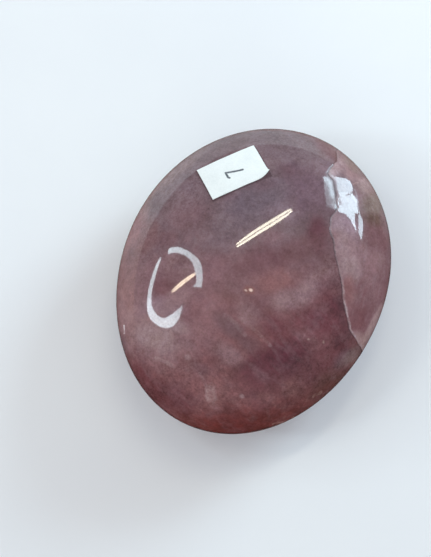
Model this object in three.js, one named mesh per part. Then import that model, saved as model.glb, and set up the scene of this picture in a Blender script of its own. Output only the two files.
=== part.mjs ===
// Palm stone: a hand-sized pebble of mauve quartz, polished all over and a little flatter than an egg,
// with a small flat spot underneath that it rests on, and a paper label stuck on its upper side.
//
// Millimetres, +Z up. The origin is the middle of the flat spot, +Y runs along the stone's length
// and +X across it.

import * as THREE from 'three';
import { mergeVertices } from 'three/addons/utils/BufferGeometryUtils.js';

// Driving dimensions of the stone
const LENGTH = 67;
const WIDTH = 55.5;
const CROWN = 14.4; // rise of the upper side above the widest line
const BELLY = 14; // drop of the under side below the widest line, before the flat spot is ground
const FLAT_LENGTH = 14; // length of the flat spot, whose outline is a small copy of the stone's
const FULLNESS = 2.2; // 2 gives an ellipse in section, and more gives fuller shoulders
const SWELLING = 0.0086; // how far the outline leaves a true ellipse, as a share of its radius
const SWELLING_TURN = 0.19; // radians from +Y to the outline's first slight hollow

// Driving dimensions of the label
const LABEL_LENGTH = 13;
const LABEL_WIDTH = 8.5;
const LABEL_THICKNESS = 0.2;
const LABEL_GAP = 0.1; // the glue line between the paper and the stone
const LABEL_X = -12.65;
const LABEL_Y = 16.41;
const LABEL_BEARING = THREE.MathUtils.degToRad(50.6); // its long side in plan, from +X towards +Y

// How finely the curved faces are divided
const SEGMENTS_ROUND = 72;
const RINGS_ABOVE = 20;
const RINGS_BELOW = 16;
const LABEL_CELL = 1;

// Height of the section at a share of the way out from the axis, as a share of its full height
function sectionHeight(share) {
  return Math.sqrt(Math.max(0, 1 - share ** FULLNESS));
}

// Distance from the axis to the stone's outline, seen from above, at an angle from +Y towards -X
function outlineRadius(angle) {
  const along = Math.cos(angle) / (LENGTH / 2);
  const across = Math.sin(angle) / (WIDTH / 2);
  const swelling = 1 - SWELLING * Math.cos(3 * (angle - SWELLING_TURN));
  return swelling / Math.hypot(along, across);
}

const flatShare = FLAT_LENGTH / LENGTH;
const girdleHeight = BELLY * sectionHeight(flatShare);

// Height of the upper side above the flat spot, at a place seen from above
function crownHeight(x, y) {
  const share = Math.hypot(x, y) / outlineRadius(Math.atan2(-x, y));
  return girdleHeight + CROWN * sectionHeight(share);
}

// The stone's section from the middle of the flat spot out to the widest line and up to the top,
// drawn with a widest radius of 1
function stoneSection() {
  const points = [new THREE.Vector2(0, 0)];
  const flatLatitude = Math.acos(flatShare);
  for (let ring = RINGS_BELOW; ring > 0; ring -= 1) {
    const share = Math.cos((flatLatitude * ring) / RINGS_BELOW);
    points.push(new THREE.Vector2(share, girdleHeight - BELLY * sectionHeight(share)));
  }
  for (let ring = 0; ring < RINGS_ABOVE; ring += 1) {
    const share = Math.cos((Math.PI / 2) * (ring / RINGS_ABOVE));
    points.push(new THREE.Vector2(share, girdleHeight + CROWN * sectionHeight(share)));
  }
  points.push(new THREE.Vector2(0, girdleHeight + CROWN));
  return points;
}

// The section is turned round +Z, and each ring is then drawn out to the outline
function makeStone() {
  const geometry = new THREE.LatheGeometry(stoneSection(), SEGMENTS_ROUND);
  geometry.rotateX(Math.PI / 2);
  const place = geometry.attributes.position;
  for (let i = 0; i < place.count; i += 1) {
    const radius = outlineRadius(Math.atan2(-place.getX(i), place.getY(i)));
    place.setXY(i, place.getX(i) * radius, place.getY(i) * radius);
  }
  const material = new THREE.MeshStandardMaterial({ color: 0x7b5a60, roughness: 0.1, metalness: 0 });
  return finishedMesh('stone', geometry, material);
}

// The label starts as a flat sheet on the plane that touches the stone at the label's middle,
// and each point of it then drops straight down to the stone
function makeLabel() {
  const cellsLong = Math.round(LABEL_LENGTH / LABEL_CELL);
  const cellsWide = Math.round(LABEL_WIDTH / LABEL_CELL);
  const size = [LABEL_LENGTH, LABEL_WIDTH, LABEL_THICKNESS];
  const geometry = new THREE.BoxGeometry(...size, cellsLong, cellsWide, 1);

  const step = 0.01;
  const middle = crownHeight(LABEL_X, LABEL_Y);
  const slopeX = (crownHeight(LABEL_X + step, LABEL_Y) - middle) / step;
  const slopeY = (crownHeight(LABEL_X, LABEL_Y + step) - middle) / step;
  const [planX, planY] = [Math.cos(LABEL_BEARING), Math.sin(LABEL_BEARING)];
  const normal = new THREE.Vector3(-slopeX, -slopeY, 1).normalize();
  const longWay = new THREE.Vector3(planX, planY, planX * slopeX + planY * slopeY).normalize();
  const wideWay = normal.clone().cross(longWay);

  const place = geometry.attributes.position;
  for (let i = 0; i < place.count; i += 1) {
    const [along, across, lift] = [place.getX(i), place.getY(i), place.getZ(i)];
    const x = LABEL_X + along * longWay.x + across * wideWay.x;
    const y = LABEL_Y + along * longWay.y + across * wideWay.y;
    place.setXYZ(i, x, y, crownHeight(x, y) + LABEL_GAP + LABEL_THICKNESS / 2 + lift);
  }
  const material = new THREE.MeshStandardMaterial({ color: 0xeef5f5, roughness: 0.85, metalness: 0 });
  return finishedMesh('label', geometry, material);
}

// Joins the seams of a shape so that it is one closed body, and gives it its name and finish
function finishedMesh(name, geometry, material) {
  geometry.deleteAttribute('normal');
  geometry.deleteAttribute('uv');
  const joined = mergeVertices(geometry, 1e-4);
  joined.computeVertexNormals();
  const mesh = new THREE.Mesh(joined, material);
  mesh.name = name;
  return mesh;
}

const group = new THREE.Group();
group.add(makeStone());
group.add(makeLabel());

export default group;
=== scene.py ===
"""A palm stone of polished mauve quartz with a paper label, lying on a pale floor in soft studio light.

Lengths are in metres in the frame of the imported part: +Y runs along the stone, +Z is up, and the origin
is the middle of the flat spot that the stone rests on. The patterns in the materials, the course of the
crack and the places of the lamps are in millimetres in the same frame.
"""

import logging
import math
from dataclasses import dataclass
from enum import Enum
from typing import Iterable, Mapping, Optional, Sequence, Union

import bpy
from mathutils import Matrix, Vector


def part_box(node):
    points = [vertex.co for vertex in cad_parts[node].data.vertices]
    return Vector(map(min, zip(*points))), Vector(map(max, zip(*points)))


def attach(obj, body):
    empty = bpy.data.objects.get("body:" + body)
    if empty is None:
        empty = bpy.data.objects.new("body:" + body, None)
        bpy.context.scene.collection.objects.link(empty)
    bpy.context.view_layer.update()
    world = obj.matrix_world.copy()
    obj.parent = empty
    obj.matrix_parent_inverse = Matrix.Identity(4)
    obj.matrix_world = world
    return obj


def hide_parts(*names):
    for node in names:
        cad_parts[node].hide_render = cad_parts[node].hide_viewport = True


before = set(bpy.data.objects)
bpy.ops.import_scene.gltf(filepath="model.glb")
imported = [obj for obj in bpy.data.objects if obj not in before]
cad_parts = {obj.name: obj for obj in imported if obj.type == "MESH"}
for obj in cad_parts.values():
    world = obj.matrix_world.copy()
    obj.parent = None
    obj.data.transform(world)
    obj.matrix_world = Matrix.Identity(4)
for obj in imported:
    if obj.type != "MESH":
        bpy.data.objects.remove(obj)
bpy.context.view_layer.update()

log = logging.getLogger("palm_stone")

MM = 0.001
BODY = "root"
CRACK_DISTANCE = "crack_distance"
SHEET_PLACE = "sheet_place"
LAMP_GLOW = "lamp_glow"
UP = Vector((0.0, 0.0, 1.0))

# Directions over the stone: from its deep red end to its violet end, and towards the flap
UPWARD = (-0.438, 0.899, 0.0)
SIDEWARD = (0.945, -0.326, 0.0)

Colour = tuple[float, float, float, float]
Pair = tuple[float, float]


def screen(red: int, green: int, blue: int) -> Colour:
    """Turns a colour as a screen shows it into linear light.

    Args:
        red: from 0 to 255.
        green: from 0 to 255.
        blue: from 0 to 255.

    Returns:
        The linear colour, with an alpha of 1.
    """
    shares = [value / 255 for value in (red, green, blue)]
    light = [s / 12.92 if s <= 0.04045 else ((s + 0.055) / 1.055) ** 2.4 for s in shares]
    return (light[0], light[1], light[2], 1.0)


def bearing(azimuth: float, elevation: float) -> Vector:
    """Direction from the stone towards something.

    Args:
        azimuth: degrees from -Y towards +X.
        elevation: degrees above the floor.

    Returns:
        The direction, of length 1.
    """
    turn, rise = math.radians(azimuth), math.radians(elevation)
    return Vector((math.sin(turn) * math.cos(rise), -math.cos(turn) * math.cos(rise), math.sin(rise)))


# Node trees


class TreeKind(Enum):
    """The two kinds of node tree."""

    SHADER = "ShaderNodeTree"
    GEOMETRY = "GeometryNodeTree"


class Kind(Enum):
    """The kinds of value that a tree takes and gives."""

    NUMBER = "NodeSocketFloat"
    COUNT = "NodeSocketInt"
    VECTOR = "NodeSocketVector"
    GEOMETRY = "NodeSocketGeometry"
    MATERIAL = "NodeSocketMaterial"

    def named(self, *names: str) -> dict[str, "Kind"]:
        """Sockets of this kind, by name."""
        return dict.fromkeys(names, self)


class Maths(Enum):
    """Operations on numbers."""

    ADD = "ADD"
    SUBTRACT = "SUBTRACT"
    MULTIPLY = "MULTIPLY"
    DIVIDE = "DIVIDE"
    POWER = "POWER"
    MAXIMUM = "MAXIMUM"
    ABSOLUTE = "ABSOLUTE"
    SQUARE_ROOT = "SQRT"
    EXPONENT = "EXPONENT"
    SINE = "SINE"
    COSINE = "COSINE"
    ANGLE = "ARCTAN2"
    MORE_THAN = "GREATER_THAN"
    SOFT_MAXIMUM = "SMOOTH_MAX"


class Vectors(Enum):
    """Operations on vectors."""

    ADD = "ADD"
    SUBTRACT = "SUBTRACT"
    MULTIPLY = "MULTIPLY"
    DIVIDE = "DIVIDE"
    SCALE = "SCALE"
    UNIT = "NORMALIZE"
    TANGENT = "TANGENT"
    LENGTH = "LENGTH"
    DOT = "DOT_PRODUCT"


@dataclass(frozen=True)
class Field:
    """A value that varies over a surface: one output of a tree, with arithmetic."""

    board: "Board"
    socket: bpy.types.NodeSocket

    def __add__(self, other: "Operand") -> "Field":
        """The sum."""
        return self.board.maths(Maths.ADD, self, other)

    def __radd__(self, other: "Operand") -> "Field":
        """The sum, with the field last."""
        return self.board.maths(Maths.ADD, other, self)

    def __sub__(self, other: "Operand") -> "Field":
        """The difference."""
        return self.board.maths(Maths.SUBTRACT, self, other)

    def __rsub__(self, other: "Operand") -> "Field":
        """The difference, with the field last."""
        return self.board.maths(Maths.SUBTRACT, other, self)

    def __mul__(self, other: "Operand") -> "Field":
        """The product."""
        return self.board.maths(Maths.MULTIPLY, self, other)

    def __rmul__(self, other: "Operand") -> "Field":
        """The product, with the field last."""
        return self.board.maths(Maths.MULTIPLY, other, self)

    def __truediv__(self, other: "Operand") -> "Field":
        """The quotient."""
        return self.board.maths(Maths.DIVIDE, self, other)

    def __rtruediv__(self, other: "Operand") -> "Field":
        """The quotient, with the field below."""
        return self.board.maths(Maths.DIVIDE, other, self)

    def __pow__(self, other: "Operand") -> "Field":
        """The power."""
        return self.board.maths(Maths.POWER, self, other)

    def without_sign(self) -> "Field":
        """The number without its sign."""
        return self.board.maths(Maths.ABSOLUTE, self)

    def root(self) -> "Field":
        """The square root."""
        return self.board.maths(Maths.SQUARE_ROOT, self)

    def at_least(self, floor: "Operand") -> "Field":
        """The number, or the floor where it is lower."""
        return self.board.maths(Maths.MAXIMUM, self, floor)

    def rise(self, low: "Operand", high: "Operand") -> "Field":
        """Climbs smoothly from 0 at one value to 1 at another.

        Args:
            low: the value up to which the result is 0.
            high: the value from which the result is 1.

        Returns:
            The climb.
        """
        inputs = {"Value": self, "From Min": low, "From Max": high}
        return self.board.field("ShaderNodeMapRange", inputs, interpolation_type="SMOOTHSTEP")

    def fall(self, low: "Operand", high: "Operand") -> "Field":
        """Falls smoothly from 1 at one value to 0 at another."""
        return 1.0 - self.rise(low, high)

    def bell(self, centre: float, width: float) -> "Field":
        """Is 1 at one value and falls off on both sides of it.

        Args:
            centre: the value where the bell stands.
            width: how far from there it has fallen to about a third.

        Returns:
            The height of the bell.
        """
        share = (self - centre) / width
        return self.board.maths(Maths.EXPONENT, share * share * -1.0)


Operand = Union[Field, float, Sequence[float], bpy.types.Material]
Inputs = Mapping[Union[str, int], Operand]


class Board:
    """A node tree, with calls that add nodes to it and join them."""

    def __init__(self, tree: bpy.types.NodeTree) -> None:
        """Keeps the tree that the calls work on."""
        self.tree = tree
        self.takes: dict[str, Field] = {}

    @classmethod
    def group(
        cls, name: str, kind: TreeKind, takes: Mapping[str, Kind], gives: Mapping[str, Kind]
    ) -> "Board":
        """Starts a node group with named inputs and outputs.

        Args:
            name: the group's name.
            kind: whether it shades or builds geometry.
            takes: its inputs, by name.
            gives: its outputs, by name.

        Returns:
            The board of the new group, with its inputs in takes.
        """
        board = cls(bpy.data.node_groups.new(name, kind.value))
        for sockets, way in ((takes, "INPUT"), (gives, "OUTPUT")):
            for label, socket_kind in sockets.items():
                board.tree.interface.new_socket(label, in_out=way, socket_type=socket_kind.value)
        given = board.add("NodeGroupInput")
        board.takes = {label: Field(board, given.outputs[label]) for label in takes}
        return board

    @classmethod
    def emptied(cls, owner: Union[bpy.types.Material, bpy.types.World]) -> "Board":
        """Clears the tree of a material or a world.

        Args:
            owner: the material or the world.

        Returns:
            The board of its tree.
        """
        owner.use_nodes = True
        owner.node_tree.nodes.clear()
        return cls(owner.node_tree)

    @classmethod
    def material(cls, name: str) -> tuple["Board", bpy.types.Material, bpy.types.Node]:
        """Starts a material around one Principled shader.

        Args:
            name: the material's name.

        Returns:
            Its board, the material and the shader.
        """
        material = bpy.data.materials.new(name)
        board = cls.emptied(material)
        shader = board.add("ShaderNodeBsdfPrincipled")
        board.add("ShaderNodeOutputMaterial", {"Surface": Field(board, shader.outputs[0])})
        return board, material, shader

    def give(self, values: Inputs) -> bpy.types.NodeTree:
        """Joins a group's results to its outputs, by name, and returns the finished tree."""
        self.add("NodeGroupOutput", values)
        return self.tree

    def set(self, node: bpy.types.Node, inputs: Inputs) -> None:
        """Fills sockets of a node.

        Args:
            node: the node.
            inputs: what goes into its sockets, by name or number. Fields are linked.
        """
        for key, value in inputs.items():
            if isinstance(value, Field):
                self.tree.links.new(value.socket, node.inputs[key])
            else:
                node.inputs[key].default_value = value

    def add(self, kind: str, inputs: Optional[Inputs] = None, **settings: object) -> bpy.types.Node:
        """Adds a node.

        Args:
            kind: Blender's name for the kind of node.
            inputs: what goes into its sockets, by name or number.
            settings: the node's own settings.

        Returns:
            The new node.
        """
        node = self.tree.nodes.new(kind)
        for name, value in settings.items():
            setattr(node, name, value)
        self.set(node, inputs or {})
        return node

    def field(
        self, kind: str, inputs: Optional[Inputs] = None, output: Union[str, int] = 0, **settings: object
    ) -> Field:
        """Adds a node of which one output is wanted.

        Args:
            kind: Blender's name for the kind of node.
            inputs: what goes into its sockets, by name or number.
            output: the wanted output, by name or number.
            settings: the node's own settings.

        Returns:
            The output.
        """
        return Field(self, self.add(kind, inputs, **settings).outputs[output])

    def maths(self, operation: Maths, *values: Operand) -> Field:
        """Works on numbers."""
        return self.field("ShaderNodeMath", dict(enumerate(values)), operation=operation.value)

    def vectors(self, operation: Vectors, *values: Operand) -> Field:
        """Works on vectors.

        Args:
            operation: what is done.
            values: what it is done to. The last value of a scaling is a number.

        Returns:
            A vector, or a number for a length or a dot product.
        """
        inputs = dict(enumerate(values))
        if operation is Vectors.SCALE:
            inputs = {0: values[0], "Scale": values[1]}
        output = "Value" if operation in (Vectors.LENGTH, Vectors.DOT) else "Vector"
        return self.field("ShaderNodeVectorMath", inputs, output, operation=operation.value)

    def parts(self, vector: Field) -> list[Field]:
        """The three numbers of a vector."""
        node = self.add("ShaderNodeSeparateXYZ", {0: vector})
        return [Field(self, output) for output in node.outputs]

    def vector(self, x: Operand, y: Operand, z: Operand) -> Field:
        """A vector from three numbers."""
        return self.field("ShaderNodeCombineXYZ", {0: x, 1: y, 2: z})

    def turned(self, vector: Field, angle: Operand) -> Field:
        """A vector turned round the upright axis, by an angle in radians."""
        inputs = {"Vector": vector, "Angle": angle}
        return self.field("ShaderNodeVectorRotate", inputs, rotation_type="Z_AXIS")

    def place(self) -> Field:
        """The place on the object, in millimetres."""
        position = self.field("ShaderNodeTexCoord", output="Object")
        return self.vectors(Vectors.SCALE, position, 1.0 / MM)

    def note(self, name: str, output: str = "Fac") -> Field:
        """What the mesh carries under a name, as a number or as a vector."""
        return self.field("ShaderNodeAttribute", output=output, attribute_name=name)

    def noise(
        self, place: Field, grain: Operand, detail: float = 2.0, seed: Operand = 0.0, fineness: float = 0.5
    ) -> Field:
        """A smooth random pattern.

        Args:
            place: where it is read.
            grain: the size of its lumps, in the units of place.
            detail: how many finer layers it has.
            seed: a number that picks another pattern.
            fineness: how strong each finer layer is beside the one before.

        Returns:
            The pattern, from 0 to 1, with most of it near a half.
        """
        inputs = {"Vector": place, "Scale": 1.0 / grain, "Detail": detail, "Roughness": fineness, "W": seed}
        return self.field("ShaderNodeTexNoise", inputs, noise_dimensions="4D")

    def waver(self, place: Field, grain: Operand, **pattern: Operand) -> Field:
        """The same pattern as noise gives, moved down by a half, so that it swings round 0."""
        return self.noise(place, grain, **pattern) - 0.5

    def blend(self, share: Operand, first: Operand, second: Operand) -> Field:
        """A colour between two others.

        Args:
            share: 0 for the first and 1 for the second.
            first: a colour.
            second: another colour.

        Returns:
            The mixed colour.
        """
        # The node has sockets of several kinds for the same values, and these numbers are the colours'
        inputs = {0: share, 6: first, 7: second}
        return self.field("ShaderNodeMix", inputs, 2, data_type="RGBA")

    def bump(self, height: Field) -> Field:
        """The way the surface faces over a fine relief in millimetres."""
        return self.field("ShaderNodeBump", {"Height": height, "Distance": MM, "Strength": 1.0})

    def use(self, tree: bpy.types.NodeTree, inputs: Inputs) -> Field:
        """Places a shader group and returns its first output."""
        return self.field("ShaderNodeGroup", inputs, node_tree=tree)


@dataclass(frozen=True)
class SharedEffects:
    """The shader groups that the materials place, each built once."""

    cloud: bpy.types.NodeTree
    patch: bpy.types.NodeTree
    flecks: bpy.types.NodeTree
    hairline: bpy.types.NodeTree

    @classmethod
    def build(cls) -> "SharedEffects":
        """Builds the groups."""
        return cls(cls._cloud(), cls._patch(), cls._flecks(), cls._hairline())

    def clouds(self, board: Board, place: Field, **values: Operand) -> Field:
        """Places the mottling. Its values are size, warp, low, high and seed."""
        inputs = {name.title(): value for name, value in values.items()}
        return board.use(self.cloud, {"Place": place, **inputs})

    def line(self, board: Board, place: Field, course: Sequence[Pair], width: float) -> Field:
        """Draws a thin line through points.

        Args:
            board: the material's tree.
            place: the place on the sheet or on the stone seen from above.
            course: the points.
            width: about how wide the line is.

        Returns:
            The line, as 1 on it and 0 beside it.
        """
        mask: Operand = 0.0
        for start, end in zip(course, course[1:]):
            inputs = {"Place": place, "Start": (*start, 0.0), "End": (*end, 0.0), "Width": width}
            mask = board.use(self.hairline, inputs).at_least(mask)
        return mask

    @staticmethod
    def _cloud() -> bpy.types.NodeTree:
        """Mottling: a random pattern whose own coordinates are pushed about by a coarser one.

        Returns:
            The group.
        """
        takes = Kind.VECTOR.named("Place") | Kind.NUMBER.named("Size", "Warp", "Low", "High", "Seed")
        board = Board.group("cloud", TreeKind.SHADER, takes, Kind.NUMBER.named("Mask"))
        given = board.takes
        inputs = {"Vector": given["Place"], "Scale": 0.5 / given["Size"], "Detail": 1.0, "W": given["Seed"]}
        coarse = board.field("ShaderNodeTexNoise", inputs, "Color", noise_dimensions="4D")
        centred = board.vectors(Vectors.SUBTRACT, coarse, (0.5, 0.5, 0.5))
        push = board.vectors(Vectors.SCALE, centred, given["Warp"])
        pushed = board.vectors(Vectors.ADD, given["Place"], push)
        pattern = board.noise(pushed, given["Size"], detail=5.0, seed=given["Seed"] + 7.0)
        return board.give({"Mask": pattern.rise(given["Low"], given["High"])})

    @staticmethod
    def _patch() -> bpy.types.NodeTree:
        """A soft, ragged, egg-shaped region.

        Returns:
            The group.
        """
        takes = Kind.VECTOR.named("Place", "Centre", "Reach")
        takes |= Kind.NUMBER.named("Turn", "Softness", "Raggedness")
        board = Board.group("patch", TreeKind.SHADER, takes, Kind.NUMBER.named("Mask"))
        given = board.takes
        away = board.vectors(Vectors.SUBTRACT, given["Place"], given["Centre"])
        turned = board.turned(away, given["Turn"] * -1.0)
        share = board.vectors(Vectors.LENGTH, board.vectors(Vectors.DIVIDE, turned, given["Reach"]))
        wandering = share + given["Raggedness"]
        return board.give({"Mask": wandering.fall(1.0 - given["Softness"], 1.0 + given["Softness"])})

    @staticmethod
    def _flecks() -> bpy.types.NodeTree:
        """Small scattered spots of uneven size.

        Returns:
            The group.
        """
        takes = Kind.VECTOR.named("Place") | Kind.NUMBER.named("Spacing", "Size", "Seed")
        board = Board.group("flecks", TreeKind.SHADER, takes, Kind.NUMBER.named("Mask"))
        given = board.takes
        shifted = board.vectors(Vectors.ADD, given["Place"], board.vector(given["Seed"], 0.0, 0.0))
        cells = board.add("ShaderNodeTexVoronoi", {"Vector": shifted, "Scale": 1.0 / given["Spacing"]})
        away = Field(board, cells.outputs["Distance"]) * given["Spacing"]
        chance = board.parts(Field(board, cells.outputs["Color"]))[0]
        reach = given["Size"] * chance * chance
        return board.give({"Mask": away.fall(reach * 0.4, reach + 0.001)})

    @staticmethod
    def _hairline() -> bpy.types.NodeTree:
        """A thin straight line of slightly uneven width between two points.

        Returns:
            The group.
        """
        takes = Kind.VECTOR.named("Place", "Start", "End") | Kind.NUMBER.named("Width")
        board = Board.group("hairline", TreeKind.SHADER, takes, Kind.NUMBER.named("Mask"))
        given = board.takes
        run = board.vectors(Vectors.SUBTRACT, given["End"], given["Start"])
        away = board.vectors(Vectors.SUBTRACT, given["Place"], given["Start"])
        share = board.vectors(Vectors.DOT, away, run) / board.vectors(Vectors.DOT, run, run)
        nearest = board.vectors(Vectors.SCALE, run, board.field("ShaderNodeClamp", {0: share}))
        distance = board.vectors(Vectors.LENGTH, board.vectors(Vectors.SUBTRACT, away, nearest))
        half = given["Width"] * (0.25 + 0.5 * board.noise(given["Place"], 0.8))
        return board.give({"Mask": distance.fall(half * 0.5, half * 1.5)})


# Shapes


@dataclass(frozen=True)
class Crack:
    """The healed crack that parts the stone's far right side, the flap, from the rest.

    Seen from above, it runs along a straight line from start, and course says how far it strays to the
    right of that line at each distance along it. Under the stone's widest line it leans outwards. Lengths
    are in millimetres.
    """

    start: Pair = (5.2, 29.0)
    run: Pair = (0.522, -0.853)
    lean: float = 0.5
    swing: float = 5.0
    groove_depth: float = 0.035
    groove_width: float = 0.4
    step_down: float = 0.03
    step_reach: Pair = (-0.25, 0.45)
    bend: float = 0.5
    bend_length: float = 2.5
    slope_reach: float = 0.5
    course: tuple[Pair, ...] = (
        (-6.0, 2.4), (-2.4, 0.55), (0.4, 0.05), (1.4, -1.05), (3.3, -2.3), (5.0, -1.2), (8.5, -1.15),
        (11.3, -1.35), (13.0, -2.9), (15.6, -3.4), (18.0, -3.0), (21.0, -2.9), (25.0, -2.4),
        (28.0, -2.05), (30.0, -2.25), (33.0, -1.85), (36.0, -1.25), (38.4, 0.3), (42.0, 4.0),
    )

    @property
    def right(self) -> Pair:
        """The direction to the right of the straight line, away from the stone's middle."""
        return (-self.run[1], self.run[0])

    def travel(self, board: Board, place: Field, way: Pair) -> Field:
        """How far a place lies from the crack's start in a direction, seen from above."""
        offset = self.start[0] * way[0] + self.start[1] * way[1]
        return board.vectors(Vectors.DOT, place, (way[0], way[1], 0.0)) - offset

    def _stray(self, board: Board, along: Field) -> Field:
        """How far the crack strays to the right of its line.

        Args:
            board: the geometry tree.
            along: the distance along the line.

        Returns:
            The distance to the right.
        """
        first, last = self.course[0][0], self.course[-1][0]
        node = board.add("ShaderNodeFloatCurve", {"Value": (along - first) / (last - first)})
        curve = node.mapping.curves[0]
        while len(curve.points) < len(self.course):
            curve.points.new(0.5, 0.5)
        for point, (travelled, stray) in zip(curve.points, self.course):
            point.location = ((travelled - first) / (last - first), 0.5 + stray / (2 * self.swing))
            point.handle_type = "VECTOR"
        node.mapping.update()
        return (Field(board, node.outputs[0]) - 0.5) * (2 * self.swing)

    def distance(self, board: Board, place: Field, widest: Operand, seed: Operand) -> Field:
        """How far a place lies to the right of the crack.

        Args:
            board: the geometry tree.
            place: the place.
            widest: the height of the stone's widest line.
            seed: picks the crack's small bends.

        Returns:
            The distance, below zero to the left of the crack.
        """
        along = self.travel(board, place, self.run)
        across = self.travel(board, place, self.right)
        height = board.parts(place)[2]
        leaning = across - self.lean * (widest - height).at_least(0.0)
        reach = self.slope_reach
        slope = (self._stray(board, along + reach) - self._stray(board, along - reach)) / (2 * reach)
        bends = board.waver(place, self.bend_length, detail=3.0, seed=seed) * self.bend
        return (leaning - self._stray(board, along)) / (1.0 + slope * slope).root() + bends


@dataclass(frozen=True)
class StoneForm:
    """The stone's shape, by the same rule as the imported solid's. Lengths are in metres."""

    length: float
    width: float
    height: float
    belly: float = 14.0 * MM
    flat_length: float = 14.0 * MM
    fullness: float = 2.2
    swelling: float = 0.0086
    swelling_turn: float = 0.19

    @classmethod
    def from_frame(cls, node: str) -> "StoneForm":
        """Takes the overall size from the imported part.

        Args:
            node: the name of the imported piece.

        Returns:
            The form.
        """
        low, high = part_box(node)
        size = high - low
        return cls(length=size.y, width=size.x, height=size.z)

    @property
    def girdle_height(self) -> float:
        """Height of the widest line above the flat spot."""
        return self.belly * self.section_height(self.flat_length / self.length)

    @property
    def crown(self) -> float:
        """Rise of the upper side above the widest line."""
        return self.height - self.girdle_height

    def section_height(self, share: float) -> float:
        """Height of the section at a share of the way out from the axis, as a share of the full height."""
        return math.sqrt(max(0.0, 1.0 - share**self.fullness))

    def outline_radius(self, angle: float) -> float:
        """Distance from the axis to the outline, seen from above.

        Args:
            angle: radians from +Y towards -X.

        Returns:
            The distance.
        """
        along = math.cos(angle) / (self.length / 2)
        across = math.sin(angle) / (self.width / 2)
        swelling = 1.0 - self.swelling * math.cos(3.0 * (angle - self.swelling_turn))
        return swelling / math.hypot(along, across)

    def crown_height(self, x: float, y: float) -> float:
        """Height of the upper side above the flat spot, at a place seen from above."""
        share = math.hypot(x, y) / self.outline_radius(math.atan2(-x, y))
        return self.girdle_height + self.crown * self.section_height(share)

    def crown_slopes(self, x: float, y: float) -> Pair:
        """How steeply the upper side climbs at a place seen from above.

        Args:
            x: the place along X.
            y: the place along Y.

        Returns:
            The climb along X and the climb along Y.
        """
        step = 0.01 * MM
        middle = self.crown_height(x, y)
        climb_x = self.crown_height(x + step, y) - middle
        climb_y = self.crown_height(x, y + step) - middle
        return climb_x / step, climb_y / step


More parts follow.
